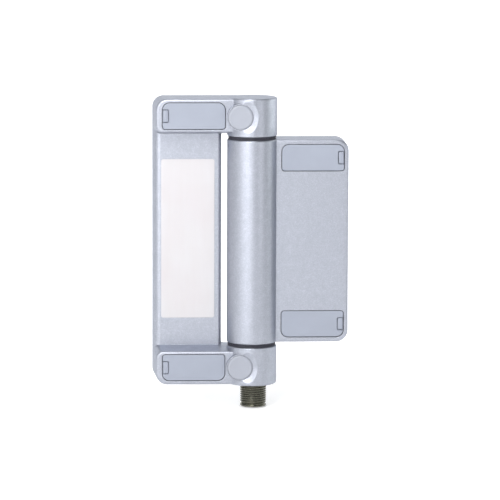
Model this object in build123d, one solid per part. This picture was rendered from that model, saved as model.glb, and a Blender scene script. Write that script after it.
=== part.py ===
"""Safety hinge: a two-leaf die-cast door hinge with a position switch inside its barrel.

Frame, in millimetres: the hinge axis is Z, and the origin is the middle of the barrel. Seen
from the front, which is -Y, the fixed leaf is on the left (-X) and the moving leaf on the
right (+X). Both leaves are screwed down through their back faces, the plane y = BACK_Y.
"""

import os

from build123d import *

# ---- hinge barrel and knuckles
BARREL_R = 11.2
BARREL_HALF = 45.9  # half the length of the moving barrel
GAP = 1.6  # gap between the barrel and each knuckle
KNUCKLE_IN = BARREL_HALF + GAP
KNUCKLE_OUT = 64.8
BACK_Y = 12.0  # mounting plane
RIM = 1.1  # cast edge rounding

# ---- fixed leaf
FIXED_X = -43.2  # left wall at its front edge
SIDE_DRAFT = 1.3  # how far the left wall leans out, front to back
ARM_FRONT = -7.0
ARM_IN = 49.5  # inner edge of each arm, at its front face
ARM_OUT = 64.5  # outer wall of each arm
RECESS_FRONT = 3.6  # front of the thin middle part
RECESS_HALF = 48.0  # half the recess's height, at its floor
MIDDLE_RIGHT = -13.6
MIDDLE_ROUND = 3.2  # rounding of the left front edge
MIDDLE_RIGHT_ROUND = 1.5  # rounding of the front edge beside the slot
SLOT_HALF = 48.3

# ---- moving leaf
MOVING_X = 43.3
MOVING_FRONT = -3.2
MOVING_HALF = 45.9
MOVING_CORNER = 5.3

# ---- covers over the fixing screws: width, height and centres
COVER_W = 28.0
COVER_H = 11.8
FIXED_COVER_X = -26.35
FIXED_COVER_Z = 56.75
MOVING_COVER_X = 27.25
MOVING_COVER_Z = 37.65
COVER_GAP = 0.25
COVER_T = 1.9
REBATE = 2.0  # depth of the seat that the cover's plate lies in
OUTER_CORNER = 3.2
INNER_CORNER = 1.3
POCKET_W = 26.0
POCKET_H = 10.2
POCKET_DEPTH = 8.0
NOTCH_W = 2.4
NOTCH_H = 5.4
NOTCH_DEPTH = 0.8
LEG_LENGTH = 3.8
BOLT_R = 3.3  # clearance hole for an M6 screw
BOLT_PITCH = 15.4

# ---- round caps and the clamp screws under them
CAP_X = -5.6
CAP_Z = 56.4
CAP_R = 5.6
CAP_GAP = 0.07
CAP_FACE = -10.7
CAP_T = 3.1
BOSS_R = 6.1
BOSS_FACE = -10.2
RELIEF_R = 5.9  # foot of the sloped cut around the cap
RELIEF_DEPTH = 1.6
RELIEF_SPREAD = 3.7
CAP_SEAT = -7.4
SCREW_R = 2.45  # M5 set screw
SCREW_START = -7.0
SCREW_END = 8.0

# ---- shafts, bushes and seals
SHAFT_R = 6.5
FREE = 0.05  # running clearance on the radius
SHAFT_TOP = 61.4
UPPER_SHAFT_END = 20.0
LOWER_SHAFT_TOP = -2.0
SHAFT_BOTTOM = -59.2
TUBE_R = 5.0
BORE_R = 8.0
BUSH_END = 25.0
FLANGE_R = 9.0
SEAL_R = 10.8

# ---- actuator: a steep thread turns the hinge's rotation into the switch's stroke
LEAD = 20.0  # travel for one turn
STROKE = LEAD / 2  # travel for the full half turn
THREAD_R = 4.0
NUT_LOW = 4.0
NUT_HIGH = 16.0
SPINDLE_TOP = 18.0
THREAD_LOW = 8.0
SHANK = 5.0  # square shank, across flats
SHANK_LOW = -24.0
BRIDGE_T = 2.0
BRIDGE_LENGTH = 6.4
BRIDGE_WIDTH = 3.0
CARTRIDGE_LOW = -44.0
CARTRIDGE_TOP = -3.0
CAVITY_R = 4.3
CAVITY_LOW = -40.0
CAVITY_TOP = -6.0

# ---- M12 plug connector
CONNECTOR_X = 0.8  # it stands a little to the right of the hinge axis
THREAD_MAJOR_R = 6.0
THREAD_MINOR_R = 5.45
THREAD_PITCH = 1.0
CONNECTOR_END = -75.2
SOCKET_R = 7.0
SOCKET_TOP = -59.4
INSERT_R = 4.4
INSERT_FACE = -66.0
INSERT_TOP = -60.0
PIN_R = 0.4
PIN_CIRCLE_R = 2.75
PIN_TIP = -73.0

# ---- rating label
LABEL_W = 24.0
LABEL_H = 72.0
LABEL_X = -28.7
LABEL_Z = 0.4
LABEL_T = 0.15


def block(x0, x1, y0, y1, z0, z1):
    """A box between two corners."""
    size = (x1 - x0, y1 - y0, z1 - z0)
    return Pos((x0 + x1) / 2, (y0 + y1) / 2, (z0 + z1) / 2) * Box(*size)


def round_z(radius, z0, z1, x=0.0, y=0.0):
    """A cylinder along Z."""
    return Pos(x, y, (z0 + z1) / 2) * Cylinder(radius, abs(z1 - z0))


def round_y(radius, y0, y1, x, z):
    """A cylinder along Y."""
    return Pos(x, (y0 + y1) / 2, z) * Rot(90, 0, 0) * Cylinder(radius, abs(y1 - y0))


def tube_z(outer, inner, z0, z1):
    """A plain tube along Z."""
    return round_z(outer, z0, z1) - round_z(inner, z0 - 1, z1 + 1)


def along_y(sketch, y0, y1):
    """A solid whose outline is drawn with X across and Z up, from y0 back to y1."""
    front = Plane(origin=(0, y0, 0), x_dir=(1, 0, 0), z_dir=(0, -1, 0))
    return extrude(front * sketch, amount=y1 - y0, dir=(0, 1, 0))


def outline(width, height, top_r, bottom_r, x=0.0, z=0.0):
    """A rectangle with one radius on its two top corners and one on its bottom corners."""
    shape = Rectangle(width, height)
    shape = fillet(shape.vertices().group_by(Axis.Y)[-1], top_r)
    shape = fillet(shape.vertices().group_by(Axis.Y)[0], bottom_r)
    return Pos(x, z) * shape


def front_edges(solid, y):
    """The edges of a front face, without the one that is buried in the barrel."""
    edges = solid.faces().filter_by(Axis.Y).group_by(Axis.Y)[0].edges()
    return [e for e in edges if abs(e.center().X) > 0.5]


def mirrored(solid):
    """The same solid at the other end of the hinge."""
    return mirror(solid, about=Plane.XY)


# ---- leaves


def left_wall(y):
    """Where the leaning left wall of the fixed leaf is, at a depth y."""
    return FIXED_X - SIDE_DRAFT * (y - ARM_FRONT) / (BACK_Y - ARM_FRONT)


def arm():
    """The thick upper arm of the fixed leaf, with a sloped inner wall and left wall."""
    slope = (ARM_IN - RECESS_HALF) / (RECESS_FRONT - ARM_FRONT)
    side = Polyline(
        (ARM_FRONT, ARM_IN),
        (ARM_FRONT, ARM_OUT),
        (BACK_Y, ARM_OUT),
        (BACK_Y, ARM_IN - (BACK_Y - ARM_FRONT) * slope),
        close=True,
    )
    start = FIXED_X - 2 * SIDE_DRAFT
    section = Plane(origin=(start, 0, 0), x_dir=(0, 1, 0), z_dir=(1, 0, 0)) * make_face(side)
    plan = Polyline(
        (left_wall(ARM_FRONT), ARM_FRONT),
        (0, ARM_FRONT),
        (0, BACK_Y),
        (left_wall(BACK_Y), BACK_Y),
        close=True,
    )
    solid = extrude(section, amount=-start) & extrude(make_face(plan), amount=2 * ARM_OUT)
    solid = fillet(left_corners(solid)[-1], 5.0)
    solid = fillet(left_corners(solid)[0], 3.0)
    return fillet(front_edges(solid, ARM_FRONT), RIM)


def left_corners(solid):
    """The edges that run from front to back at the left end of an arm, from low to high."""
    left = [e for e in solid.edges() if e.center().X < FIXED_X + 0.1]
    return ShapeList([e for e in left if abs(e.tangent_at(0.5).Y) > 0.9]).sort_by(Axis.Z)


def middle():
    """The thin middle part of the fixed leaf, rounded on both front edges."""
    plan = Polyline(
        (left_wall(RECESS_FRONT), RECESS_FRONT),
        (MIDDLE_RIGHT, RECESS_FRONT),
        (MIDDLE_RIGHT, BACK_Y),
        (left_wall(BACK_Y), BACK_Y),
        close=True,
    )
    section = make_face(plan)
    section = fillet(section.vertices().group_by(Axis.Y)[0].sort_by(Axis.X)[0], MIDDLE_ROUND)
    section = fillet(section.vertices().group_by(Axis.Y)[0].sort_by(Axis.X)[-1], MIDDLE_RIGHT_ROUND)
    reach = ARM_OUT - 6
    return Pos(0, 0, -reach) * extrude(section, amount=2 * reach)


def knuckle():
    """The upper knuckle, with a flat seat for its round cap."""
    solid = round_z(BARREL_R, KNUCKLE_IN, KNUCKLE_OUT)
    solid = fillet(solid.edges().group_by(Axis.Z)[-1], 0.9)
    solid = chamfer(solid.edges().group_by(Axis.Z)[0], 0.3)
    relief = Pos(CAP_X, BOSS_FACE - RELIEF_DEPTH / 2, CAP_Z) * Rot(90, 0, 0) * Cone(
        RELIEF_R, RELIEF_R + RELIEF_SPREAD, RELIEF_DEPTH
    )
    return solid - relief + round_y(BOSS_R, BOSS_FACE, 0, CAP_X, CAP_Z)


def cap_hole():
    """The stepped hole behind the upper cap: the cap's seat and the screw's thread."""
    seat = round_y(CAP_R + CAP_GAP, BOSS_FACE - 4, CAP_SEAT, CAP_X, CAP_Z)
    thread = round_y(SCREW_R + 0.05, CAP_SEAT, SCREW_END + 0.6, CAP_X, CAP_Z)
    return seat + thread


def cover_pocket(x, z, face, top_r, bottom_r):
    """The seat of one cover, the screw-head pocket below it and its two bolt holes."""
    grow = 2 * COVER_GAP
    lip = outline(COVER_W + grow, COVER_H + grow, top_r + COVER_GAP, bottom_r + COVER_GAP, x, z)
    well = outline(POCKET_W, POCKET_H, 2.0, 2.0, x, z)
    pocket = along_y(lip, face - 1, face + REBATE) + along_y(well, face, face + POCKET_DEPTH)
    for shift in (-BOLT_PITCH / 2, BOLT_PITCH / 2):
        pocket += round_y(BOLT_R, face, BACK_Y + 1, x + shift, z)
    return pocket


def fixed_leaf():
    """The C-shaped leaf: two arms, two knuckles and the thin middle part."""
    body = arm() + mirrored(arm()) + middle()
    slot_w = 1 - MIDDLE_RIGHT
    slot = Rectangle(slot_w, 2 * SLOT_HALF)
    slot = fillet(slot.vertices().group_by(Axis.X)[0], 1.2)
    body -= along_y(Pos(MIDDLE_RIGHT + slot_w / 2, 0) * slot, -20, 20)
    body += knuckle() + mirrored(knuckle())
    hole = cap_hole()
    body -= hole
    body -= mirrored(hole)
    body -= round_z(SHAFT_R + FREE, KNUCKLE_IN - 1, SHAFT_TOP + 0.2)
    body -= round_z(SHAFT_R + FREE, -KNUCKLE_IN + 1, SHAFT_BOTTOM - 0.2)
    body -= round_z(SOCKET_R, SOCKET_TOP, -KNUCKLE_OUT - 1, CONNECTOR_X)
    body -= cover_pocket(FIXED_COVER_X, FIXED_COVER_Z, ARM_FRONT, OUTER_CORNER, INNER_CORNER)
    body -= cover_pocket(FIXED_COVER_X, -FIXED_COVER_Z, ARM_FRONT, INNER_CORNER, OUTER_CORNER)
    return body


def moving_leaf():
    """The plain leaf with the barrel between the knuckles."""
    plate = Pos(MOVING_X / 2, 0) * Rectangle(MOVING_X, 2 * MOVING_HALF)
    plate = fillet(plate.vertices().group_by(Axis.X)[-1], MOVING_CORNER)
    body = along_y(plate, MOVING_FRONT, BACK_Y)
    body = fillet(front_edges(body, MOVING_FRONT), RIM)
    barrel = round_z(BARREL_R, -BARREL_HALF, BARREL_HALF)
    barrel = fillet(barrel.edges().filter_by(GeomType.CIRCLE), 0.5)
    body += barrel
    body -= round_z(BORE_R, -BARREL_HALF - 1, BARREL_HALF + 1)
    body -= cover_pocket(MOVING_COVER_X, MOVING_COVER_Z, MOVING_FRONT, OUTER_CORNER, INNER_CORNER)
    body -= cover_pocket(MOVING_COVER_X, -MOVING_COVER_Z, MOVING_FRONT, INNER_CORNER, OUTER_CORNER)
    return body


# ---- covers and caps


def cover(x, z, face, top_r, bottom_r):
    """A snap-in cover with four legs and a notch to pry it out by."""
    side = 1 if x > 0 else -1
    plate = along_y(outline(COVER_W, COVER_H, top_r, bottom_r, x, z), face, face + COVER_T)
    plate = chamfer(plate.faces().filter_by(Axis.Y).group_by(Axis.Y)[0].edges(), 0.2)
    end = x + side * COVER_W / 2
    inner = end - side * NOTCH_W
    plate -= block(
        min(inner, end + side), max(inner, end + side), face - 1, face + NOTCH_DEPTH,
        z - NOTCH_H / 2, z + NOTCH_H / 2,
    )
    reach = POCKET_H / 2 - 0.2
    for shift in (-7.0, 7.0):
        for up in (-1, 1):
            inside = z + up * (reach - 1.2)
            outside = z + up * reach
            plate += block(
                x + shift - 2.5, x + shift + 2.5, face + COVER_T - 0.2,
                face + COVER_T + LEG_LENGTH, min(inside, outside), max(inside, outside),
            )
    return plate


def cap():
    """The round plug over the upper clamp screw."""
    disc = round_y(CAP_R, CAP_FACE, CAP_FACE + CAP_T, CAP_X, CAP_Z)
    front = disc.edges().filter_by(GeomType.CIRCLE).group_by(Axis.Y)[0]
    return fillet(front, 0.35)


def clamp_screw():
    """The set screw that locks the upper shaft through a notch in the shaft's side."""
    screw = round_y(SCREW_R, SCREW_START, SCREW_END, CAP_X, CAP_Z)
    screw = chamfer(screw.edges().filter_by(GeomType.CIRCLE), 0.4)
    hexagon = Pos(CAP_X, CAP_Z) * RegularPolygon(1.45, 6)
    return screw - along_y(hexagon, SCREW_START - 1, SCREW_START + 2.3)


def rating_label():
    """The adhesive label on the middle of the fixed leaf."""
    face = outline(LABEL_W, LABEL_H, 1.0, 1.0, LABEL_X, LABEL_Z)
    return along_y(face, RECESS_FRONT - LABEL_T, RECESS_FRONT)


# ---- shafts, bushes and seals


def screw_notch():
    """The cut that the upper clamp screw lies in."""
    return round_y(SCREW_R + 0.15, -BARREL_R, BARREL_R, CAP_X, CAP_Z)


def upper_shaft():
    """The solid stub shaft in the upper knuckle."""
    shaft = round_z(SHAFT_R, UPPER_SHAFT_END, SHAFT_TOP)
    shaft = chamfer(shaft.edges().filter_by(GeomType.CIRCLE), 0.5)
    return shaft - screw_notch()


def lower_shaft():
    """The hollow shaft in the lower knuckle, which holds the switch."""
    shaft = tube_z(SHAFT_R, TUBE_R, SHAFT_BOTTOM, LOWER_SHAFT_TOP)
    return shaft - mirrored(screw_notch())


def bush():
    """The flanged bush in the upper end of the barrel."""
    sleeve = tube_z(BORE_R, SHAFT_R + FREE, BUSH_END, BARREL_HALF)
    flange = tube_z(FLANGE_R, SHAFT_R + FREE, BARREL_HALF, KNUCKLE_IN - 0.1)
    return sleeve + flange


def seal():
    """The rubber ring that closes the upper gap around the bush's flange."""
    return tube_z(SEAL_R, FLANGE_R, BARREL_HALF, KNUCKLE_IN - 0.15)


# ---- switch


def actuator_nut():
    """The nut with the steep inner thread, pressed into the barrel."""
    return tube_z(BORE_R, THREAD_R, NUT_LOW, NUT_HIGH)


def actuator_spindle():
    """The threaded spindle, kept from turning by its square shank."""
    thread = round_z(THREAD_R - FREE, THREAD_LOW, SPINDLE_TOP)
    thread = chamfer(thread.edges().group_by(Axis.Z)[-1], 0.4)
    half = SHANK / 2
    return thread + block(-half, half, -half, half, SHANK_LOW + BRIDGE_T, THREAD_LOW)


def contact_bridge():
    """The metal bar at the spindle's foot that joins opposite contacts."""
    half_x = BRIDGE_LENGTH / 2
    half_y = BRIDGE_WIDTH / 2
    return block(-half_x, half_x, -half_y, half_y, SHANK_LOW, SHANK_LOW + BRIDGE_T)


def switch_cartridge():
    """The insulating cup that carries the contacts inside the hollow shaft."""
    cup = round_z(TUBE_R, CARTRIDGE_LOW, CARTRIDGE_TOP)
    cup -= round_z(CAVITY_R, CAVITY_LOW, CAVITY_TOP)
    half = SHANK / 2 + FREE
    return cup - block(-half, half, -half, half, CAVITY_TOP - 1, CARTRIDGE_TOP + 1)


def contact_blades():
    """Four fixed contacts, in pairs: two closed at rest and two that close when open."""
    inner = BRIDGE_LENGTH / 2 + FREE
    closed_low = SHANK_LOW + BRIDGE_T - 0.25
    blades = Part()
    for side in (-1, 1):
        x0, x1 = sorted((side * inner, side * (inner + 0.5)))
        blades += block(x0, x1, -1.2, 1.2, closed_low, -8)
        blades += block(x0, x1, -1.2, 1.2, CAVITY_LOW, closed_low - BRIDGE_T - 0.6)
    return blades


# ---- connector


def thread_profile():
    """Half section of the connector's outside, with one groove for each turn."""
    points = [(INSERT_R, -KNUCKLE_OUT), (THREAD_MINOR_R, -KNUCKLE_OUT)]
    z = -KNUCKLE_OUT
    crest = THREAD_PITCH / 4
    ramp = (THREAD_PITCH - 2 * crest) / 2
    while z - THREAD_PITCH > CONNECTOR_END + 0.3:
        points.append((THREAD_MINOR_R, z - crest / 2))
        points.append((THREAD_MAJOR_R, z - crest / 2 - ramp))
        points.append((THREAD_MAJOR_R, z - 3 * crest / 2 - ramp))
        points.append((THREAD_MINOR_R, z - 3 * crest / 2 - 2 * ramp))
        z -= THREAD_PITCH
    points.append((THREAD_MINOR_R, CONNECTOR_END))
    points.append((INSERT_R, CONNECTOR_END))
    return points


def connector_shell():
    """The threaded metal shell of the plug connector."""
    section = Plane.XZ * make_face(Polyline(*thread_profile(), close=True))
    thread = revolve(section, axis=Axis.Z)
    root = tube_z(SOCKET_R - FREE, INSERT_R, -KNUCKLE_OUT, SOCKET_TOP - 0.1)
    groove = tube_z(SOCKET_R + 1, 5.45, -63.2, -61.4)
    return thread + (root - groove)


def connector_seal():
    """The sealing ring in the groove of the connector shell."""
    return Pos(0, 0, -62.3) * Torus(6.2, 0.74)


def connector_insert():
    """The insulating disc that carries the connector's pins."""
    disc = round_z(INSERT_R, INSERT_FACE, INSERT_TOP)
    for x, y in pin_places():
        disc -= round_z(PIN_R, INSERT_FACE - 1, INSERT_TOP + 1, x, y)
    return disc


def pin_places():
    """One pin in the middle and seven around it."""
    ring = [Vector(PIN_CIRCLE_R, 0).rotate(Axis.Z, 360 / 7 * i) for i in range(7)]
    return [(0.0, 0.0)] + [(v.X, v.Y) for v in ring]


def connector_pins():
    """The eight contact pins."""
    pins = Part()
    for x, y in pin_places():
        pin = round_z(PIN_R, PIN_TIP, INSERT_TOP + 1.4, x, y)
        pins += chamfer(pin.edges().group_by(Axis.Z)[0], 0.15)
    return pins


def connector_wires():
    """Four wires from the pins to the switch cartridge."""
    wires = Part()
    for x, y in ((1.6, 1.7), (1.6, -1.7), (-0.4, 2.2), (-0.4, -2.2)):
        wires += round_z(0.45, INSERT_TOP + 1.5, CARTRIDGE_LOW - 0.05, x, y)
    return wires


def parts():
    """Every sub-part by its name."""
    outer, inner = OUTER_CORNER, INNER_CORNER
    at_connector = Pos(CONNECTOR_X, 0, 0)
    return {
        "fixed_leaf": fixed_leaf(),
        "moving_leaf": moving_leaf(),
        "fixed_upper_cover": cover(FIXED_COVER_X, FIXED_COVER_Z, ARM_FRONT, outer, inner),
        "fixed_lower_cover": cover(FIXED_COVER_X, -FIXED_COVER_Z, ARM_FRONT, inner, outer),
        "moving_upper_cover": cover(MOVING_COVER_X, MOVING_COVER_Z, MOVING_FRONT, outer, inner),
        "moving_lower_cover": cover(MOVING_COVER_X, -MOVING_COVER_Z, MOVING_FRONT, inner, outer),
        "upper_cap": cap(),
        "lower_cap": mirrored(cap()),
        "upper_clamp_screw": clamp_screw(),
        "lower_clamp_screw": mirrored(clamp_screw()),
        "rating_label": rating_label(),
        "upper_shaft": upper_shaft(),
        "lower_shaft": lower_shaft(),
        "upper_bush": bush(),
        "lower_bush": mirrored(bush()),
        "upper_seal": seal(),
        "lower_seal": mirrored(seal()),
        "actuator_nut": actuator_nut(),
        "actuator_spindle": actuator_spindle(),
        "contact_bridge": contact_bridge(),
        "contact_blades": contact_blades(),
        "switch_cartridge": switch_cartridge(),
        "connector_shell": at_connector * connector_shell(),
        "connector_insert": at_connector * connector_insert(),
        "connector_pins": at_connector * connector_pins(),
        "connector_seal": at_connector * connector_seal(),
        "connector_wires": at_connector * connector_wires(),
    }


def main():
    os.makedirs("parts", exist_ok=True)
    for name, solid in parts().items():
        export_step(solid, os.path.join("parts", name + ".step"))
        print(name, round(solid.volume, 1))


if __name__ == "__main__":
    main()
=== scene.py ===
"""Visible parts of a two-leaf safety hinge: castings, covers, caps, label, seals and connector.

Everything is in metres in the hinge's own frame: Z is the hinge axis, -Y is the front, the
fixed leaf is on the left (-X) and the moving leaf on the right (+X).
"""

import math

import bmesh
import bpy
from bpy.props import FloatProperty, FloatVectorProperty, PointerProperty
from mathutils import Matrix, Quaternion, Vector


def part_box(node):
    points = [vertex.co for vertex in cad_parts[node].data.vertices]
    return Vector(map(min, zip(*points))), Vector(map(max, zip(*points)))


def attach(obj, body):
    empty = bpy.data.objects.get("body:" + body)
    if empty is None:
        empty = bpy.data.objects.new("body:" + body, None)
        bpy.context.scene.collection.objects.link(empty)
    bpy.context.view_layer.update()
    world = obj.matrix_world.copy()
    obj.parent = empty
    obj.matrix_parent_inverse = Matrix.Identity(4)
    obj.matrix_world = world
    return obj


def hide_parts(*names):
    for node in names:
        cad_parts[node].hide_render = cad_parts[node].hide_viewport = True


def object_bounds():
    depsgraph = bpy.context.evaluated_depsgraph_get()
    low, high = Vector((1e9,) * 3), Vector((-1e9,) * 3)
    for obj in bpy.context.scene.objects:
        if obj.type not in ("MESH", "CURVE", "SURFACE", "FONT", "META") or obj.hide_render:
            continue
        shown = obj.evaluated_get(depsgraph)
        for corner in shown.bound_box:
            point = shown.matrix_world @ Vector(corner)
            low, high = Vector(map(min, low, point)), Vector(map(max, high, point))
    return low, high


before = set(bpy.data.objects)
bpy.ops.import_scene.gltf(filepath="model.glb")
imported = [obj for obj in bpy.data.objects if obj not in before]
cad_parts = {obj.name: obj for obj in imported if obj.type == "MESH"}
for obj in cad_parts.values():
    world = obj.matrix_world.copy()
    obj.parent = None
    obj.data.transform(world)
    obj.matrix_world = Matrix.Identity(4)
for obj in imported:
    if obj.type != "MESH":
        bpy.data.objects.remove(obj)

bl_info = {
    "name": "Safety Hinge",
    "version": (1, 0, 0),
    "blender": (4, 5, 0),
    "location": "View3D > Sidebar > Hinge",
    "description": "Builds and finishes the visible parts of a two-leaf safety hinge",
    "category": "Object",
}

CAD_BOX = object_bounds()
MERGE = 1e-7  # points closer than this are one point
SOFT_EDGE = 32  # degrees; an edge that turns by less is shaded smooth
FLOOR_GAP = 0.0004  # between the connector's end and the floor


# ---------------------------------------------------------------- sizes and colours


def size(name, description, default, **more):
    """A length that a user may change."""
    return FloatProperty(
        name=name, description=description, default=default, unit="LENGTH", precision=5, **more
    )


def colour(name, description, default):
    """A colour that a user may change."""
    return FloatVectorProperty(
        name=name, description=description, default=default, subtype="COLOR", size=3, min=0, max=1
    )


def share(name, description, default):
    """A factor from 0 to 1 that a user may change."""
    return FloatProperty(
        name=name, description=description, default=default, subtype="FACTOR", min=0, max=1
    )


class HingeSizes(bpy.types.PropertyGroup):
    """Sizes of the pieces that are built here; their places come from the parts in model.glb."""

    outer_corner: size("Outer corner", "Cover's corner radius away from the hinge's middle", 0.0032)
    inner_corner: size("Inner corner", "Cover's corner radius towards the hinge's middle", 0.0013)
    cover_edge: size("Cover edge", "Rounding of a cover's front edge", 0.00028)
    cover_crown: size("Cover crown", "How far a cover's face rises in its middle", 0.00007)
    cover_plate: size("Cover plate", "Thickness of a cover's plate", 0.0019)
    notch_width: size("Notch width", "How far the pry notch reaches in from a cover's end", 0.0029)
    notch_height: size("Notch height", "Length of the pry notch along a cover's end", 0.0060)
    notch_channel: size("Notch channel", "Width of the channel around the notch's pad", 0.0004)
    notch_depth: size("Notch depth", "Depth of the pry notch", 0.0008)
    cap_bevel: size("Cap bevel", "Width of the sloped rim around a cap", 0.0008)
    label_corner: size("Label corner", "Corner radius of the label", 0.0010)
    seal_bore: size("Seal bore", "Inner radius of the barrel's seals", 0.009)
    thread_radius: size("Thread radius", "Outer radius of the connector's thread", 0.0060)
    thread_pitch: size("Thread pitch", "Pitch of the connector's thread", 0.0010)
    thread_depth: size("Thread depth", "Depth of the connector's thread", 0.00055)
    rim_height: size("Rim height", "Plain rim at the connector's free end", 0.0010)
    bore_radius: size("Bore radius", "Inner radius of the connector's shell", 0.0044)


class HingeFinish(bpy.types.PropertyGroup):
    """Colours and surface values of the finishes."""

    coat: colour("Coat", "Silver coat of the castings", (0.385, 0.405, 0.462))
    coat_flake: colour("Coat flake", "Bright metal flakes in the coat", (0.49, 0.51, 0.578))
    coat_worn: colour("Worn coat", "Coat rubbed bright along the edges", (0.66, 0.68, 0.74))
    # Dark colour mixed into seams and inner corners: painted shade from ambient occlusion, together
    # with fine dirt.
    dirt_and_shade: colour("Grime", "Fine dirt that settles in seams", (0.10, 0.10, 0.12))
    coat_roughness: share("Coat roughness", "Gloss of the silver coat", 0.39)
    cover: colour("Cover", "Blue-grey plastic of the screw covers", (0.30, 0.325, 0.39))
    cap: colour("Cap", "Silver-grey plastic of the round caps", (0.335, 0.352, 0.405))
    label: colour("Label", "Pearl film of the label", (0.55, 0.525, 0.542))
    label_cool: colour("Cool label", "Cooler clouds in the label's film", (0.565, 0.56, 0.577))
    label_warm: colour("Warm label", "Warmer streaks in the label's film", (0.537, 0.508, 0.516))
    label_edge: colour("Label edge", "Rubbed edge of the label", (0.7, 0.7, 0.72))
    nickel: colour("Connector metal", "Dark nickel plate of the connector", (0.15, 0.148, 0.115))
    rubber: colour("Rubber", "Rubber of the seals", (0.032, 0.032, 0.045))
    steel: colour("Steel", "Ground steel of shafts and screws", (0.56, 0.56, 0.57))
    brass: colour("Brass", "Brass of the actuator nut", (0.66, 0.47, 0.20))
    gold: colour("Gold", "Gold plate of the contact pins", (0.83, 0.62, 0.26))
    contact: colour("Contact metal", "Silver plate of the switch contacts", (0.74, 0.72, 0.68))
    natural: colour("Natural plastic", "Bearing plastic of the spindle", (0.70, 0.67, 0.58))
    black: colour("Black plastic", "Insulating and bearing plastic", (0.020, 0.020, 0.022))
    wire: colour("Wire", "Insulation of the wires", (0.16, 0.17, 0.19))


def brightness(name, description, default):
    """The power of a light, or the strength of a glow, that a user may change."""
    return FloatProperty(name=name, description=description, default=default, min=0)


def tilt(name, description, degrees):
    """An angle that a user may change."""
    return FloatProperty(
        name=name, description=description, default=math.radians(degrees), subtype="ANGLE"
    )


class HingeStudio(bpy.types.PropertyGroup):
    """Where the camera stands and how bright the studio is."""

    azimuth: tilt("Azimuth", "Camera's angle to the right of the front", -3.0)
    elevation: tilt("Elevation", "Camera's angle above the horizontal", 7.8)
    roll: tilt("Roll", "Camera's turn about its own line of sight", 0.2)
    distance: size("Distance", "Camera's distance from the hinge", 1.5)
    frame_width: size("Frame width", "Width of the view at the hinge", 0.225)
    aim: FloatVectorProperty(
        name="Aim", description="Point that the camera looks at", subtype="TRANSLATION", size=3,
        default=(-0.0008, 0.0, -0.0044),
    )
    key_power: brightness("Key light", "Power of the main light", 2.9)
    fill_power: brightness("Fill light", "Power of the light from the left", 0.8)
    top_power: brightness("Top light", "Power of the light from above and behind", 1.0)
    strip_power: brightness("Strip light", "Power of the low, wide light left of the camera", 1.3)
    accent_power: brightness("Accent light", "Power of the low light right of the camera", 0.3)
    rim_power: brightness("Rim light", "Power of the light from the right side", 0.95)
    sky: brightness("Room light", "Strength of the even room light", 0.18)
    floor_glow: brightness("Floor glow", "Light given off by the floor around the hinge", 0.14)
    backdrop_glow: brightness("Backdrop glow", "Light given off by the floor behind the hinge", 0.8)
    floor: colour("Floor", "Colour of the floor and backdrop", (0.92, 0.92, 0.92))


def sizes():
    return bpy.context.scene.hinge_sizes


def finish():
    return bpy.context.scene.hinge_finish


# ---------------------------------------------------------------- node helpers


def connect(tree, given, socket):
    """Links an output to a socket, or sets the socket's own value."""
    if isinstance(given, bpy.types.NodeSocket):
        tree.links.new(given, socket)
    else:
        socket.default_value = given


def math_node(tree, operation, *given):
    node = tree.nodes.new("ShaderNodeMath")
    node.operation = operation
    for value, socket in zip(given, node.inputs):
        connect(tree, value, socket)
    return node.outputs[0]


def limits(tree, value, low, high, to_low=0.0, to_high=1.0):
    """Maps a value from one range to another and clamps it."""
    node = tree.nodes.new("ShaderNodeMapRange")
    for given, socket in zip((value, low, high, to_low, to_high), node.inputs):
        connect(tree, given, socket)
    return node.outputs[0]


def blend_colour(tree, mask, first, second):
    node = tree.nodes.new("ShaderNodeMix")
    node.data_type = "RGBA"
    connect(tree, mask, node.inputs[0])
    connect(tree, first, node.inputs[6])
    connect(tree, second, node.inputs[7])
    return node.outputs[2]


def noise(tree, where, scale, detail=2.0, roughness=0.5):
    node = tree.nodes.new("ShaderNodeTexNoise")
    connect(tree, where, node.inputs["Vector"])
    connect(tree, scale, node.inputs["Scale"])
    node.inputs["Detail"].default_value = detail
    node.inputs["Roughness"].default_value = roughness
    return node.outputs[0]


def own_place(tree, stretch=None):
    """A point's place in the piece's own space, which moves with the piece."""
    place = tree.nodes.new("ShaderNodeTexCoord").outputs["Object"]
    if stretch is None:
        return place
    mapping = tree.nodes.new("ShaderNodeMapping")
    mapping.inputs["Scale"].default_value = stretch
    tree.links.new(place, mapping.inputs["Vector"])
    return mapping.outputs[0]


def new_group(name, inputs, outputs):
    """An empty shader node group with float inputs and the named outputs."""
    tree = bpy.data.node_groups.new(name, "ShaderNodeTree")
    add_socket = tree.interface.new_socket
    for label, default in inputs:
        socket = add_socket(name=label, in_out="INPUT", socket_type="NodeSocketFloat")
        socket.default_value = default
    for label, kind in outputs:
        add_socket(name=label, in_out="OUTPUT", socket_type="NodeSocket" + kind)
    given = tree.nodes.new("NodeGroupInput").outputs
    result = tree.nodes.new("NodeGroupOutput").inputs
    return tree, given, result


def use_group(tree, name, **values):
    """Places an effect in a material; a value's underscores stand for spaces."""
    group = bpy.data.node_groups.get(name)
    if group is None:
        group = EFFECTS[name]()
    node = tree.nodes.new("ShaderNodeGroup")
    node.node_tree = group
    for label, value in values.items():
        connect(tree, value, node.inputs[label.replace("_", " ").capitalize()])
    return node.outputs


# ---------------------------------------------------------------- effects


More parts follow.
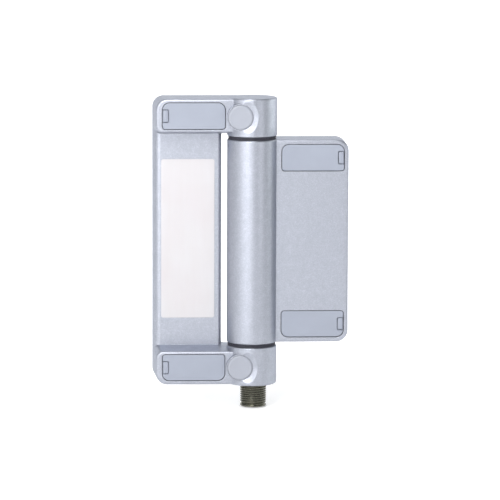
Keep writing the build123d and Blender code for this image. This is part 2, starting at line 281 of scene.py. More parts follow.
def flake_coat():
    """Metal flakes and slow mottling of a sprayed metallic coat."""
    inputs = (("Flake scale", 3800.0), ("Mottle scale", 300.0))
    outputs = (("Flakes", "Float"), ("Mottle", "Float"), ("Height", "Float"))
    tree, given, result = new_group("flake_coat", inputs, outputs)
    place = own_place(tree)
    cells = tree.nodes.new("ShaderNodeTexVoronoi")
    connect(tree, place, cells.inputs["Vector"])
    connect(tree, given["Flake scale"], cells.inputs["Scale"])
    split = tree.nodes.new("ShaderNodeSeparateColor")
    connect(tree, cells.outputs["Color"], split.inputs[0])
    coarse = math_node(tree, "MULTIPLY", given["Flake scale"], 0.35)
    cloud = noise(tree, place, coarse, 2.0, 0.6)
    flakes = math_node(tree, "MULTIPLY", split.outputs[0], cloud)
    connect(tree, limits(tree, flakes, 0.08, 0.62), result["Flakes"])
    mottle = noise(tree, place, given["Mottle scale"], 4.0, 0.62)
    connect(tree, limits(tree, mottle, 0.3, 0.7), result["Mottle"])
    bump = math_node(tree, "ADD", math_node(tree, "MULTIPLY", flakes, 0.6), cloud)
    connect(tree, bump, result["Height"])
    return tree


def worn_edges():
    """A broken-up mask along sharp edges, and a normal that rounds them slightly."""
    inputs = (("Radius", 0.0004), ("Amount", 0.5), ("Breakup scale", 900.0))
    tree, given, result = new_group("worn_edges", inputs, (("Mask", "Float"), ("Normal", "Vector")))
    bevel = tree.nodes.new("ShaderNodeBevel")
    bevel.samples = 4
    connect(tree, given["Radius"], bevel.inputs["Radius"])
    geometry = tree.nodes.new("ShaderNodeNewGeometry")
    dot = tree.nodes.new("ShaderNodeVectorMath")
    dot.operation = "DOT_PRODUCT"
    connect(tree, bevel.outputs[0], dot.inputs[0])
    connect(tree, geometry.outputs["Normal"], dot.inputs[1])
    edge = limits(tree, dot.outputs["Value"], 0.995, 0.86)
    patches = noise(tree, own_place(tree), given["Breakup scale"], 4.0, 0.65)
    broken = limits(tree, patches, 0.38, 0.66)
    mask = math_node(tree, "MULTIPLY", edge, broken)
    connect(tree, math_node(tree, "MULTIPLY", mask, given["Amount"]), result["Mask"])
    connect(tree, bevel.outputs[0], result["Normal"])
    return tree


def seam_dirt_and_shade():
    """A mask of painted shade and fine dirt in seams and inner corners, taken from ambient
    occlusion.
    """
    inputs = (("Reach", 0.0012), ("Amount", 0.6), ("Breakup scale", 600.0))
    tree, given, result = new_group("seam_dirt_and_shade", inputs, (("Mask", "Float"),))
    near = tree.nodes.new("ShaderNodeAmbientOcclusion")
    near.samples = 6
    connect(tree, given["Reach"], near.inputs["Distance"])
    shut = limits(tree, near.outputs["AO"], 0.72, 0.12)
    cloud = noise(tree, own_place(tree), given["Breakup scale"], 3.0, 0.6)
    patchy = limits(tree, cloud, 0.25, 0.6, 0.55, 1.0)
    mask = math_node(tree, "MULTIPLY", shut, patchy)
    connect(tree, math_node(tree, "MULTIPLY", mask, given["Amount"]), result["Mask"])
    return tree


def mould_texture():
    """Spark-eroded texture and faint flow clouds of a moulded plastic."""
    inputs = (("Grain scale", 5200.0), ("Cloud scale", 120.0))
    outputs = (("Grain", "Float"), ("Cloud", "Float"))
    tree, given, result = new_group("mould_texture", inputs, outputs)
    place = own_place(tree)
    connect(tree, noise(tree, place, given["Grain scale"], 3.0, 0.7), result["Grain"])
    cloud = noise(tree, place, given["Cloud scale"], 3.0, 0.5)
    connect(tree, limits(tree, cloud, 0.3, 0.7), result["Cloud"])
    return tree


def turning_marks():
    """Fine rings left by a lathe that turned the piece about Z."""
    inputs = (("Ring scale", 9000.0), ("Stain scale", 420.0))
    outputs = (("Rings", "Float"), ("Stain", "Float"))
    tree, given, result = new_group("turning_marks", inputs, outputs)
    rings = noise(tree, own_place(tree, (0.02, 0.02, 1.0)), given["Ring scale"], 2.0, 0.6)
    connect(tree, rings, result["Rings"])
    stain = noise(tree, own_place(tree), given["Stain scale"], 4.0, 0.6)
    connect(tree, limits(tree, stain, 0.35, 0.7), result["Stain"])
    return tree


EFFECTS = {
    "flake_coat": flake_coat,
    "worn_edges": worn_edges,
    "seam_dirt_and_shade": seam_dirt_and_shade,
    "mould_texture": mould_texture,
    "turning_marks": turning_marks,
}


# ---------------------------------------------------------------- materials


def new_material(name, **constants):
    """A material and its shader, with constants on the shader's own sockets."""
    made = bpy.data.materials.new(name)
    made.use_nodes = True
    shader = made.node_tree.nodes["Principled BSDF"]
    for label, value in constants.items():
        shader.inputs[label.replace("_", " ")].default_value = value
    return made, made.node_tree, shader.inputs


def rgba(rgb, factor=1.0):
    return tuple(min(1.0, c * factor) for c in rgb) + (1.0,)


def bump(tree, height, strength, distance, normal=None):
    node = tree.nodes.new("ShaderNodeBump")
    node.inputs["Strength"].default_value = strength
    node.inputs["Distance"].default_value = distance
    connect(tree, height, node.inputs["Height"])
    if normal is not None:
        connect(tree, normal, node.inputs["Normal"])
    return node.outputs[0]


def silver_coat():
    """Sprayed silver coat on the zinc castings."""
    look = finish()
    edge_tint = (0.52, 0.54, 0.58, 1.0)  # keeps glancing reflections as grey as the coat
    made, tree, inputs = new_material("silver_coat", Metallic=0.82, Specular_Tint=edge_tint)
    coat = use_group(tree, "flake_coat", flake_scale=3600.0, mottle_scale=330.0)
    worn = use_group(tree, "worn_edges", radius=0.00035, amount=0.55, breakup_scale=800.0)
    # Painted shade and fine dirt: the ambient-occlusion mask darkens the coat in seams and inner
    # corners.
    dirt_and_shade = use_group(tree, "seam_dirt_and_shade", reach=0.0011, amount=0.62, breakup_scale=500.0)
    base = blend_colour(tree, coat["Flakes"], rgba(look.coat), rgba(look.coat_flake))
    mottled = limits(tree, coat["Mottle"], 0.0, 1.0, 0.0, 0.35)
    dull = blend_colour(tree, mottled, base, rgba(look.coat, 0.86))
    edged = blend_colour(tree, worn["Mask"], dull, rgba(look.coat_worn))
    connect(tree, blend_colour(tree, dirt_and_shade["Mask"], edged, rgba(look.dirt_and_shade)), inputs["Base Color"])
    smooth = look.coat_roughness
    gloss = limits(tree, coat["Mottle"], 0.0, 1.0, smooth - 0.04, smooth + 0.06)
    dirt = math_node(tree, "MULTIPLY", dirt_and_shade["Mask"], 0.3)
    connect(tree, math_node(tree, "ADD", gloss, dirt), inputs["Roughness"])
    connect(tree, bump(tree, coat["Height"], 0.08, 0.00005, worn["Normal"]), inputs["Normal"])
    return made


def moulded(name, rgb, roughness, grain=0.12):
    """A moulded plastic with eroded grain, flow clouds, rubbed edges, and painted shade with fine
    dirt in its seams.
    """
    made, tree, inputs = new_material(name)
    texture = use_group(tree, "mould_texture", grain_scale=5200.0, cloud_scale=110.0)
    worn = use_group(tree, "worn_edges", radius=0.0002, amount=0.35, breakup_scale=1100.0)
    # Painted shade and fine dirt in seams and inner corners, from ambient occlusion.
    dirt_and_shade = use_group(tree, "seam_dirt_and_shade", reach=0.0006, amount=0.55, breakup_scale=700.0)
    shade = limits(tree, texture["Cloud"], 0.0, 1.0, 0.0, 0.5)
    base = blend_colour(tree, shade, rgba(rgb), rgba(rgb, 0.9))
    edged = blend_colour(tree, worn["Mask"], base, rgba(rgb, 1.35))
    dirty_and_shaded = blend_colour(tree, dirt_and_shade["Mask"], edged, rgba(finish().dirt_and_shade))
    connect(tree, dirty_and_shaded, inputs["Base Color"])
    gloss = limits(tree, texture["Grain"], 0.2, 0.8, roughness - 0.05, roughness + 0.07)
    connect(tree, gloss, inputs["Roughness"])
    connect(tree, bump(tree, texture["Grain"], grain, 0.00004, worn["Normal"]), inputs["Normal"])
    return made


def turned_metal(name, rgb, roughness, seam_dirt_and_shade_amount=0.0):
    """A metal turned on a lathe, with rings, stains and bright edges."""
    made, tree, inputs = new_material(name, Metallic=1.0)
    marks = use_group(tree, "turning_marks", ring_scale=9000.0, stain_scale=420.0)
    worn = use_group(tree, "worn_edges", radius=0.00015, amount=0.6, breakup_scale=1500.0)
    # Painted shade and fine dirt in seams and thread roots, from ambient occlusion, as strong as
    # the amount given.
    dirt_and_shade = use_group(tree, "seam_dirt_and_shade", reach=0.0007, amount=seam_dirt_and_shade_amount, breakup_scale=900.0)
    rings = limits(tree, marks["Rings"], 0.35, 0.65)
    ringed = blend_colour(tree, rings, rgba(rgb, 0.88), rgba(rgb, 1.08))
    stain = limits(tree, marks["Stain"], 0.0, 1.0, 0.0, 0.4)
    patchy = blend_colour(tree, stain, ringed, rgba(rgb, 0.72))
    edged = blend_colour(tree, worn["Mask"], patchy, rgba(rgb, 1.5))
    dirty_and_shaded = blend_colour(tree, dirt_and_shade["Mask"], edged, rgba(finish().dirt_and_shade))
    connect(tree, dirty_and_shaded, inputs["Base Color"])
    gloss = limits(tree, marks["Stain"], 0.0, 1.0, roughness - 0.04, roughness + 0.1)
    connect(tree, gloss, inputs["Roughness"])
    connect(tree, bump(tree, marks["Rings"], 0.1, 0.00002, worn["Normal"]), inputs["Normal"])
    return made


def pearl_film():
    """Printed-label stock: a pearl film with faint streaks and an uneven, soft gloss."""
    look = finish()
    made, tree, inputs = new_material("pearl_film", Metallic=0.12, Specular_IOR_Level=0.45)
    streaks = noise(tree, own_place(tree, (6.0, 6.0, 0.7)), 55.0, 4.0, 0.6)
    clouds = noise(tree, own_place(tree), 45.0, 3.0, 0.5)
    cloudy = limits(tree, clouds, 0.3, 0.7)
    tint = blend_colour(tree, cloudy, rgba(look.label), rgba(look.label_cool))
    streaky = limits(tree, streaks, 0.35, 0.75, 0.0, 0.45)
    shade = blend_colour(tree, streaky, tint, rgba(look.label_warm))
    worn = use_group(tree, "worn_edges", radius=0.0001, amount=0.4, breakup_scale=900.0)
    edged = blend_colour(tree, worn["Mask"], shade, rgba(look.label_edge))
    connect(tree, edged, inputs["Base Color"])
    connect(tree, limits(tree, streaks, 0.2, 0.8, 0.34, 0.5), inputs["Roughness"])
    fibres = noise(tree, own_place(tree), 1500.0, 3.0, 0.6)
    connect(tree, bump(tree, fibres, 0.06, 0.00005), inputs["Normal"])
    return made


def dress(node, material):
    """Gives a carried-over part its material."""
    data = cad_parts[node].data
    data.materials.clear()
    data.materials.append(material)


# ---------------------------------------------------------------- mesh helpers


def rounded_outline(width, height, top_r, bottom_r, inset=0.0, steps=8):
    """Points around a rectangle with rounded corners, drawn inset from its edge."""
    half_w = width / 2 - inset
    half_h = height / 2 - inset
    corners = ((1, -1, bottom_r), (1, 1, top_r), (-1, 1, top_r), (-1, -1, bottom_r))
    points = []
    for quarter, (side, up, radius) in enumerate(corners):
        r = max(radius - inset, 0.00005)
        for i in range(steps + 1):
            angle = math.radians(90 * (quarter - 1 + i / steps))
            x = side * (half_w - r) + r * math.cos(angle)
            points.append((x, up * (half_h - r) + r * math.sin(angle)))
    return points


def skin(bm, loops, closed=False):
    """Joins loops of points, one after the other, into a surface with end faces."""
    rings = [[bm.verts.new(point) for point in loop] for loop in loops]
    pairs = list(zip(rings, rings[1:]))
    if closed:
        pairs.append((rings[-1], rings[0]))
    for near, far in pairs:
        for i in range(len(near)):
            j = (i + 1) % len(near)
            bm.faces.new((near[i], near[j], far[j], far[i]))
    if not closed:
        bm.faces.new(rings[0])
        bm.faces.new(rings[-1])


def circle(radius, steps):
    """Points around a circle, as pairs."""
    turns = [2 * math.pi * i / steps for i in range(steps)]
    return [(radius * math.cos(t), radius * math.sin(t)) for t in turns]


def tidy_mesh(bm, sharp=SOFT_EDGE):
    """Merges doubled points, points the faces outwards and smooths all but sharp edges."""
    bmesh.ops.remove_doubles(bm, verts=bm.verts, dist=MERGE)
    bmesh.ops.dissolve_degenerate(bm, dist=MERGE, edges=bm.edges)
    bmesh.ops.recalc_face_normals(bm, faces=bm.faces)
    for face in bm.faces:
        face.smooth = True
    for edge in bm.edges:
        if len(edge.link_faces) == 2 and edge.calc_face_angle(0) > math.radians(sharp):
            edge.smooth = False


def make_object(name, bm, sharp=SOFT_EDGE):
    """Turns a mesh under construction into an object in the scene."""
    tidy_mesh(bm, sharp)
    data = bpy.data.meshes.new(name)
    bm.to_mesh(data)
    bm.free()
    made = bpy.data.objects.new(name, data)
    bpy.context.scene.collection.objects.link(made)
    return made


def fit_piece(made, body, slot, material, *nodes):
    """Ties a finished piece to its body, its material and the nodes it stands for; the slot
    argument is not used.
    """
    if not made.data.polygons:
        raise RuntimeError(made.name + " has no faces")
    made.data.materials.clear()
    made.data.materials.append(material)
    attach(made, body)
    if nodes:
        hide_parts(*nodes)
    return made


def cut(made, cutter):
    """Takes one object's shape out of another and removes the cutter."""
    step = made.modifiers.new("cut", "BOOLEAN")
    step.operation = "DIFFERENCE"
    step.solver = "EXACT"
    step.object = cutter
    graph = bpy.context.evaluated_depsgraph_get()
    data = bpy.data.meshes.new_from_object(made.evaluated_get(graph))
    made.modifiers.clear()
    old = made.data
    made.data = data
    data.name = made.name
    bpy.data.meshes.remove(old)
    bpy.data.objects.remove(cutter)
    bm = bmesh.new()
    bm.from_mesh(made.data)
    tidy_mesh(bm)
    bm.to_mesh(made.data)
    bm.free()


# ---------------------------------------------------------------- covers and caps


NOTCH_CORNER = 0.0007
PAD_CORNER = 0.0005
LEG_SHIFT = 0.007  # from a cover's middle to the middle of each leg
LEG_HALF = 0.0025


def centre_of(low, high):
    return (low + high) / 2


def cover_plate(name, low, high, top_r, bottom_r):
    """A cover's plate: rounded front edge, slightly crowned face and a shelled back."""
    s = sizes()
    middle = centre_of(low, high)
    edge = s.cover_edge
    crown = s.cover_crown
    shell = [(0.0009, s.cover_plate - 0.0008), (0.0009, s.cover_plate), (0.0, s.cover_plate)]
    arc = [math.radians(15 * i) for i in reversed(range(7))]
    rolled = [(edge * (1 - math.sin(t)), crown + edge * (1 - math.cos(t))) for t in arc]
    face = [(edge * 1.4, crown), (0.0012, crown * 0.6), (0.0026, crown * 0.2), (0.0042, 0.0)]
    bm = bmesh.new()
    loops = []
    for inset, depth in shell + rolled + face:
        flat = rounded_outline(high.x - low.x, high.z - low.z, top_r, bottom_r, inset)
        loops.append([(middle.x + x, low.y + depth, middle.z + z) for x, z in flat])
    skin(bm, loops)
    return make_object(name, bm)


def notch_block(name, low, high, side):
    """The shape that the pry notch takes out of a cover's outer end."""
    s = sizes()
    end = high.x if side > 0 else low.x
    middle_z = centre_of(low, high).z
    depth = s.notch_depth
    rows = ((-0.0005, 0.0, 0.00004), (depth * 0.6, 0.0, 0.0), (depth, 0.00025, -0.0002))
    bm = bmesh.new()
    loops = []
    for y, reach, grow in rows:
        width = 2 * (s.notch_width - reach)
        flat = rounded_outline(width, s.notch_height + 2 * grow, NOTCH_CORNER, NOTCH_CORNER)
        loops.append([(end + x, low.y + y, middle_z + z) for x, z in flat])
    skin(bm, loops)
    return make_object(name + "_notch", bm)


def add_notch_pad(bm, low, high, side):
    """A raised pad inside the pry notch, which leaves a narrow channel around it."""
    s = sizes()
    end = high.x if side > 0 else low.x
    middle_z = centre_of(low, high).z
    width = s.notch_width - s.notch_channel
    height = s.notch_height - 2 * s.notch_channel
    middle_x = end - side * (width + s.cover_edge) / 2
    foot = s.notch_depth + 0.0001
    loops = []
    for inset, depth in ((0.0, foot), (0.0, 0.00022), (0.00006, 0.00014), (0.0002, 0.0001)):
        flat = rounded_outline(width - s.cover_edge, height, PAD_CORNER, PAD_CORNER, inset)
        loops.append([(middle_x + x, low.y + depth, middle_z + z) for x, z in flat])
    skin(bm, loops)


def add_legs(bm, low, high):
    """Four snap legs with barbs behind a cover."""
    middle = centre_of(low, high)
    plate = sizes().cover_plate
    reach = high.y - low.y
    half = (high.z - low.z) / 2
    root = plate - 0.0001
    side_view = (
        (half - 0.0010, root), (half - 0.0010, reach * 0.76), (half - 0.00085, reach * 0.80),
        (half - 0.0011, reach), (half - 0.0018, reach), (half - 0.0022, root),
    )
    for shift in (-LEG_SHIFT, LEG_SHIFT):
        for up in (-1, 1):
            loops = []
            for x in (shift - LEG_HALF, shift + LEG_HALF):
                loops.append([(middle.x + x, low.y + d, middle.z + up * w) for w, d in side_view])
            skin(bm, loops)


def screw_cover(node, material):
    """A snap cover over two fixing screws."""
    s = sizes()
    low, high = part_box(node)
    upper = centre_of(low, high).z > 0
    radii = (s.outer_corner, s.inner_corner) if upper else (s.inner_corner, s.outer_corner)
    name = node + "_moulding"
    made = cover_plate(name, low, high, *radii)
    side = 1 if low.x > 0 else -1
    cut(made, notch_block(name, low, high, side))
    bm = bmesh.new()
    bm.from_mesh(made.data)
    add_notch_pad(bm, low, high, side)
    add_legs(bm, low, high)
    tidy_mesh(bm)
    bm.to_mesh(made.data)
    bm.free()
    fit_piece(made, node, "cover_plastic", material, node)


def turned_about_y(name, profile, x, z, steps=72):
    """A round piece about a line along Y, from pairs of radius and depth."""
    bm = bmesh.new()
    loops = []
    for radius, depth in profile:
        loops.append([(x + a, depth, z + b) for a, b in circle(radius, steps)])
    skin(bm, loops, closed=True)
    return make_object(name, bm)


def clamp_cap(node, material):
    """A round plug with a sloped rim, a shallow dish and a hollow back."""
    low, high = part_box(node)
    middle = centre_of(low, high)
    r = (high.x - low.x) / 2
    bevel = sizes().cap_bevel
    face = low.y
    back = high.y
    profile = [
        (0.0, face + 0.00008), (r * 0.5, face + 0.00007), (r - bevel - 0.0006, face + 0.00005),
        (r - bevel - 0.0002, face + 0.00001), (r - bevel, face),
        (r - bevel + 0.0002, face + 0.00004), (r - 0.00025, face + 0.00032),
        (r - 0.00007, face + 0.00042), (r, face + 0.0006), (r, back),
        (r - 0.0009, back), (r - 0.0011, back - 0.0008), (0.0, back - 0.0008),
    ]
    made = turned_about_y(node + "_plug", profile, middle.x, middle.z)
    fit_piece(made, node, "cap_plastic", material, node)


# ---------------------------------------------------------------- label and seals


def label_film(material):
    """A thin film with rounded corners and softly rolled edges."""
    low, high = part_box("rating_label")
    middle = centre_of(low, high)
    thick = high.y - low.y
    radius = sizes().label_corner
    bm = bmesh.new()
    loops = []
    rows = ((0.0, 1.0), (0.0, 0.5), (0.00003, 0.2), (0.0001, 0.05), (0.0004, 0.0), (0.003, 0.02))
    for inset, depth in rows:
        flat = rounded_outline(high.x - low.x, high.z - low.z, radius, radius, inset)
        loops.append([(middle.x + x, low.y + depth * thick, middle.z + z) for x, z in flat])
    skin(bm, loops)
    made = make_object("label_film", bm)
    fit_piece(made, "fixed_side", "label_paper", material, "rating_label")


def lip_seal(node, material):
    """A ring with two lips and a valley between them, which fills a gap of the barrel."""
    low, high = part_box(node)
    outer = (high.x - low.x) / 2
    inner = sizes().seal_bore
    thick = high.z - low.z
    lip = ((0.0004, 0.0), (0.0001, 0.08), (0.0, 0.2), (0.0001, 0.34))
    valley = ((0.0005, 0.5),)
    mirrored_lip = tuple((drop, 1 - part) for drop, part in reversed(lip))
    section = [(outer - drop, part) for drop, part in lip + valley + mirrored_lip]
    section = [(inner, 0.0), *section, (inner, 1.0)]
    bm = bmesh.new()
    loops = []
    for radius, part in section:
        loops.append([(a, b, low.z + part * thick) for a, b in circle(radius, 128)])
    skin(bm, loops, closed=True)
    made = make_object(node + "_lips", bm, sharp=60)
    fit_piece(made, "moving_side", "seal_rubber", material, node)


# ---------------------------------------------------------------- connector


AROUND = 96  # points around the connector
RIB_HEIGHT = 0.0005
RIB_HALF_ANGLE = math.radians(9)
TURN_SHAPE = ((0.15, 0), (0.4, 1), (0.6, 1), (0.85, 0))  # part of the pitch, thread height


def coded_bore(angle):
    """Bore radius of the shell, with one coding rib inside it at the back."""
    away = abs((angle - math.radians(90) + math.pi) % (2 * math.pi) - math.pi)
    rise = max(0.0, 1 - (away / RIB_HALF_ANGLE) ** 4)
    return sizes().bore_radius - RIB_HEIGHT * rise


def helix_rows(centre_x, top, bottom):
    """Rows of points that follow a thread from its top to its bottom, row 0 a plain ring."""
    s = sizes()
    root = s.thread_radius - s.thread_depth
    pitch = s.thread_pitch
    turns = int((top - bottom) / pitch) + 3
    knots = [(0.0, 0.0)]
    for number in range(turns):
        knots += [((number + part) * pitch, height) for part, height in TURN_SHAPE]
    rows = []
    for down, height in knots:
        row = []
        for i in range(AROUND):
            angle = 2 * math.pi * i / AROUND
            z = min(top, max(bottom, top - down + pitch * i / AROUND))
            fade = min(1.0, (top - z) / pitch, (z - bottom) / pitch)
            r = root + s.thread_depth * height * fade
            row.append((centre_x + r * math.cos(angle), r * math.sin(angle), z))
        rows.append(row)
    return rows


def plain_rows(centre_x, profile):
    """Rings of points about the connector's axis, from pairs of radius and height."""
    return [[(centre_x + a, b, z) for a, b in circle(r, AROUND)] for r, z in profile]


def ribbed_rows(centre_x, end, seat_z):
    """Rows inside the bore: the coding rib runs from the free end to the insert's face."""
    bore = sizes().bore_radius
    deep = seat_z + 0.0002
    rows = []
    for z, rib in ((end + 0.0003, 1.0), (deep, 1.0), (deep, 0.0)):
        row = []
        for i in range(AROUND):
            angle = 2 * math.pi * i / AROUND
            r = bore + rib * (coded_bore(angle) - bore)
            row.append((centre_x + r * math.cos(angle), r * math.sin(angle), z))
        rows.append(row)
    return rows


def join_rows(bm, rows, first, last):
    """Joins rows into a closed surface; from row first to row last they follow a helix.

    A helix row ends one turn, which is len(TURN_SHAPE) rows, above where it starts.
    """
    verts = [[bm.verts.new(point) for point in row] for row in rows]
    pairs = zip(verts, verts[1:] + verts[:1])
    turn_rows = len(TURN_SHAPE)
    for k, (near, far) in enumerate(pairs):
        for i in range(AROUND - 1):
            bm.faces.new((near[i], near[i + 1], far[i + 1], far[i]))
        threaded = first <= k < last
        start_near = verts[max(k - turn_rows, first)][0] if threaded else near[0]
        start_far = verts[max(k + 1 - turn_rows, first)][0] if threaded else far[0]
        corners = list(dict.fromkeys((near[-1], start_near, start_far, far[-1])))
        if len(corners) > 2:
            bm.faces.new(corners)


def threaded_shell(material):
    """The connector's shell: collar, helical thread, plain rim and a bore with a coding rib."""
    s = sizes()
    low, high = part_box("connector_shell")
    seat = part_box("connector_insert")[0]
    top = high.z
    end = low.z
    centre_x = centre_of(low, high).x
    collar = (high.x - low.x) / 2
    outer = s.thread_radius
    root = outer - s.thread_depth
    neck = top - 0.0053
    thread_end = end + s.rim_height
    bore = s.bore_radius
    above = [
        (bore, top), (collar, top), (collar, top - 0.0019), (root, top - 0.0019),
        (root, top - 0.0037), (collar, top - 0.0037), (collar, neck), (root, neck),
    ]
    below = [
        (root, thread_end - 0.00005), (outer - 0.0001, thread_end - 0.00025),
        (outer, thread_end - 0.0004), (outer, end + 0.00035),
        (outer - 0.0004, end), (bore + 0.0003, end),
    ]
    helix = helix_rows(centre_x, neck - 0.0001, thread_end)
    rows = plain_rows(centre_x, above) + helix + plain_rows(centre_x, below)
    rows += ribbed_rows(centre_x, end, seat.z)
    bm = bmesh.new()
    join_rows(bm, rows, len(above), len(above) + len(helix) - 1)
    made = make_object("connector_thread_shell", bm, sharp=40)
    fit_piece(made, "fixed_side", "connector_nickel", material, "connector_shell")


# ---------------------------------------------------------------- stage


FLOOR_FRONT = -3.0
BEND_START = 0.9  # where the floor begins to curve up
BEND_RADIUS = 0.5
BACKDROP_TOP = 2.6
GLOW_START = -0.1  # the floor's own light grows between these two depths
GLOW_END = 0.4


def look_along(direction, roll=0.0):
    """The rotation of a camera or light that faces along a direction."""
    turn = Vector(direction).to_track_quat("-Z", "Y")
    return turn @ Quaternion((0, 0, 1), roll)


def place_camera(studio):
    """The camera at its angle, on the aim point."""
    az = studio.azimuth
    el = studio.elevation
    back = Vector((math.sin(az) * math.cos(el), -math.cos(az) * math.cos(el), math.sin(el)))
    data = bpy.data.cameras.new("studio_camera")
    camera = bpy.data.objects.new("studio_camera", data)
    bpy.context.scene.collection.objects.link(camera)
    camera.location = Vector(studio.aim) + back * studio.distance
    camera.rotation_mode = "QUATERNION"
    camera.rotation_quaternion = look_along(-back, studio.roll)
    data.sensor_width = 36
    data.lens = data.sensor_width * studio.distance / studio.frame_width
    data.clip_start = 0.01
    bpy.context.scene.camera = camera


def softbox(name, azimuth, elevation, distance, width, height, power, tint=(1, 1, 1)):
    """A soft rectangular light that faces the hinge."""
    az = math.radians(azimuth)
    el = math.radians(elevation)
    back = Vector((math.sin(az) * math.cos(el), -math.cos(az) * math.cos(el), math.sin(el)))
    data = bpy.data.lights.new(name, "AREA")
    data.shape = "RECTANGLE"
    data.size = width
    data.size_y = height
    data.energy = power
    data.color = tint
    lamp = bpy.data.objects.new(name, data)
    bpy.context.scene.collection.objects.link(lamp)
    lamp.location = back * distance
    lamp.rotation_mode = "QUATERNION"
    lamp.rotation_quaternion = look_along(-back)


def floor_paint(studio):
    """White paint with faint speckles, which glows more and more towards the backdrop."""
    made, tree, inputs = new_material("floor_paint", Roughness=0.7, Emission_Strength=1.0)
    apart = tree.nodes.new("ShaderNodeSeparateXYZ")
    connect(tree, own_place(tree), apart.inputs[0])
    away = limits(tree, apart.outputs[1], GLOW_START, GLOW_END)
    near_glow = rgba([studio.floor_glow] * 3)
    far_glow = rgba([studio.backdrop_glow] * 3)
    connect(tree, blend_colour(tree, away, near_glow, far_glow), inputs["Emission Color"])
    speckle = limits(tree, noise(tree, own_place(tree), 90.0, 3.0, 0.6), 0.35, 0.65)
    paint = blend_colour(tree, speckle, rgba(studio.floor), rgba(studio.floor, 0.985))
    connect(tree, paint, inputs["Base Color"])
    return made


def studio_floor(studio):
    """A pale floor that curves up into a backdrop."""
    low = CAD_BOX[0].z - FLOOR_GAP
    line = [(FLOOR_FRONT, low), (0.0, low)]
    for step in range(13):
        t = math.radians(7.5 * step)
        rise = BEND_RADIUS * (1 - math.cos(t))
        line.append((BEND_START + BEND_RADIUS * math.sin(t), low + rise))
    line.append((BEND_START + BEND_RADIUS, BACKDROP_TOP))
    bm = bmesh.new()
    columns = [[bm.verts.new((x, y, z)) for y, z in line] for x in (-4.0, -1.0, 1.0, 4.0)]
    for near, far in zip(columns, columns[1:]):
        for i in range(len(line) - 1):
            bm.faces.new((near[i], far[i], far[i + 1], near[i + 1]))
    made = make_object("studio_floor", bm, sharp=60)
    made.data.materials.append(floor_paint(studio))


def room_light(studio):
    """Even light from all around."""
    world = bpy.data.worlds.new("studio_room")
    world.use_nodes = True
    background = world.node_tree.nodes["Background"]
    background.inputs["Color"].default_value = (0.93, 0.96, 1.0, 1.0)
    background.inputs["Strength"].default_value = studio.sky
    bpy.context.scene.world = world


# ---------------------------------------------------------------- operators


class HINGE_OT_coat_castings(bpy.types.Operator):
    """Coats the two cast leaves with silver paint"""

    bl_idname = "hinge.coat_castings"
    bl_label = "Coat Castings"

    def execute(self, context):
        coat = silver_coat()
        for node in ("fixed_leaf", "moving_leaf"):
            dress(node, coat)
        return {"FINISHED"}


class HINGE_OT_mould_covers(bpy.types.Operator):
    """Moulds the four snap covers over the fixing screws"""

    bl_idname = "hinge.mould_covers"
    bl_label = "Mould Screw Covers"

    def execute(self, context):
        plastic = moulded("cover_moulding", finish().cover, 0.46)
        for leaf in ("fixed", "moving"):
            for end in ("upper", "lower"):
                screw_cover(leaf + "_" + end + "_cover", plastic)
        return {"FINISHED"}


class HINGE_OT_mould_caps(bpy.types.Operator):
    """Moulds the two round caps over the clamp screws"""

    bl_idname = "hinge.mould_caps"
    bl_label = "Mould Round Caps"

    def execute(self, context):
        plastic = moulded("cap_moulding", finish().cap, 0.42)
        for node in ("upper_cap", "lower_cap"):
            clamp_cap(node, plastic)
        return {"FINISHED"}


class HINGE_OT_apply_label(bpy.types.Operator):
    """Lays the blank label film on the fixed leaf"""

    bl_idname = "hinge.apply_label"
    bl_label = "Apply Label"

    def execute(self, context):
        label_film(pearl_film())
        return {"FINISHED"}


class HINGE_OT_fit_seals(bpy.types.Operator):
    """Fits the rubber seals in the barrel's gaps and on the connector"""

    bl_idname = "hinge.fit_seals"
    bl_label = "Fit Seals"

    def execute(self, context):
        rubber = moulded("seal_rubber", finish().rubber, 0.6, grain=0.2)
        for node in ("upper_seal", "lower_seal"):
            lip_seal(node, rubber)
        dress("connector_seal", rubber)
        return {"FINISHED"}


class HINGE_OT_turn_connector(bpy.types.Operator):
    """Turns the connector's threaded shell and finishes its insert and pins"""

    bl_idname = "hinge.turn_connector"
    bl_label = "Turn Connector"

    def execute(self, context):
        look = finish()
        threaded_shell(turned_metal("dark_nickel", look.nickel, 0.2, seam_dirt_and_shade_amount=0.75))
        dress("connector_insert", moulded("insert_moulding", look.black, 0.5))
        dress("connector_pins", turned_metal("gold_plate", look.gold, 0.22, seam_dirt_and_shade_amount=0.2))
        return {"FINISHED"}


class HINGE_OT_finish_shafts(bpy.types.Operator):
    """Finishes the shafts, bushes and clamp screws"""

    bl_idname = "hinge.finish_shafts"
    bl_label = "Finish Shafts"

    def execute(self, context):
        look = finish()
        steel = turned_metal("ground_steel", look.steel, 0.26, seam_dirt_and_shade_amount=0.35)
        zinc = turned_metal("zinc_plate", look.steel, 0.36, seam_dirt_and_shade_amount=0.5)
        bearing = moulded("bearing_moulding", look.black, 0.5)
        for node in ("upper_shaft", "lower_shaft"):
            dress(node, steel)
        for node in ("upper_clamp_screw", "lower_clamp_screw"):
            dress(node, zinc)
        for node in ("upper_bush", "lower_bush"):
            dress(node, bearing)
        return {"FINISHED"}


class HINGE_OT_finish_switch(bpy.types.Operator):
    """Finishes the actuator, contacts, cartridge and wires inside the barrel"""

    bl_idname = "hinge.finish_switch"
    bl_label = "Finish Switch"

    def execute(self, context):
        look = finish()
        dress("actuator_nut", turned_metal("nut_brass", look.brass, 0.28, seam_dirt_and_shade_amount=0.3))
        dress("actuator_spindle", moulded("spindle_moulding", look.natural, 0.4))
        silver = turned_metal("contact_silver", look.contact, 0.25, seam_dirt_and_shade_amount=0.3)
        dress("contact_bridge", silver)
        dress("contact_blades", silver)
        dress("switch_cartridge", moulded("cartridge_moulding", look.black, 0.45))
        dress("connector_wires", moulded("wire_insulation", look.wire, 0.35, grain=0.05))
        return {"FINISHED"}


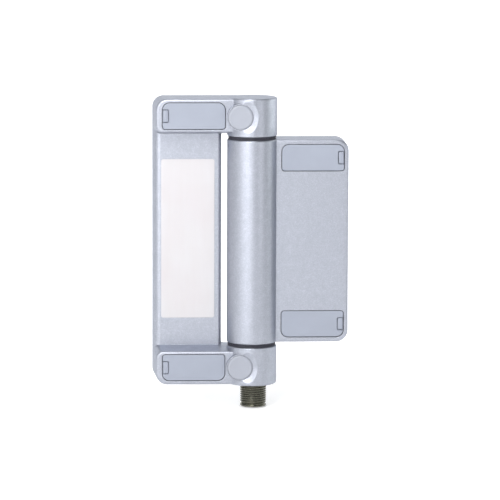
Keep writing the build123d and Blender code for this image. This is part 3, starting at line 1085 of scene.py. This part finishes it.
class HINGE_OT_set_stage(bpy.types.Operator):
    """Sets the pale floor, the soft studio lights and the camera"""

    bl_idname = "hinge.set_stage"
    bl_label = "Set Stage"

    def execute(self, context):
        studio = context.scene.hinge_studio
        studio_floor(studio)
        room_light(studio)
        softbox("key_softbox", -18, 42, 0.6, 0.24, 0.4, studio.key_power)
        softbox("strip_softbox", -26, 8, 0.6, 0.56, 0.26, studio.strip_power)
        softbox("accent_softbox", 38, 8, 0.6, 0.16, 0.26, studio.accent_power)
        softbox("fill_softbox", -68, 12, 0.8, 0.45, 0.8, studio.fill_power)
        softbox("top_softbox", 160, 65, 0.8, 0.6, 0.5, studio.top_power)
        softbox("side_softbox", 99, 10, 0.7, 0.6, 0.35, studio.rim_power, (0.95, 1.0, 0.96))
        place_camera(studio)
        context.scene.view_settings.view_transform = "Standard"
        return {"FINISHED"}


OPERATORS = (
    HINGE_OT_coat_castings,
    HINGE_OT_mould_covers,
    HINGE_OT_mould_caps,
    HINGE_OT_apply_label,
    HINGE_OT_fit_seals,
    HINGE_OT_turn_connector,
    HINGE_OT_finish_shafts,
    HINGE_OT_finish_switch,
    HINGE_OT_set_stage,
)


GROUPS = {"hinge_sizes": HingeSizes, "hinge_finish": HingeFinish, "hinge_studio": HingeStudio}


class HINGE_PT_panel(bpy.types.Panel):
    """Lists the hinge's operators with their sizes and colours"""

    bl_idname = "HINGE_PT_panel"
    bl_label = "Safety Hinge"
    bl_space_type = "VIEW_3D"
    bl_region_type = "UI"
    bl_category = "Hinge"

    def draw(self, context):
        for operator in OPERATORS:
            self.layout.operator(operator.bl_idname)
        for name in GROUPS:
            box = self.layout.box()
            group = getattr(context.scene, name)
            for prop in group.bl_rna.properties:
                if prop.identifier not in ("rna_type", "name"):
                    box.prop(group, prop.identifier)


def register():
    for kind in (*GROUPS.values(), *OPERATORS, HINGE_PT_panel):
        bpy.utils.register_class(kind)
    for name, kind in GROUPS.items():
        setattr(bpy.types.Scene, name, PointerProperty(type=kind))


def unregister():
    for name in GROUPS:
        delattr(bpy.types.Scene, name)
    for kind in reversed((*GROUPS.values(), *OPERATORS, HINGE_PT_panel)):
        bpy.utils.unregister_class(kind)


def main():
    """Builds everything in order."""
    register()
    for operator in OPERATORS:
        category, name = operator.bl_idname.split(".")
        getattr(getattr(bpy.ops, category), name)()


if __name__ == "__main__":
    main()
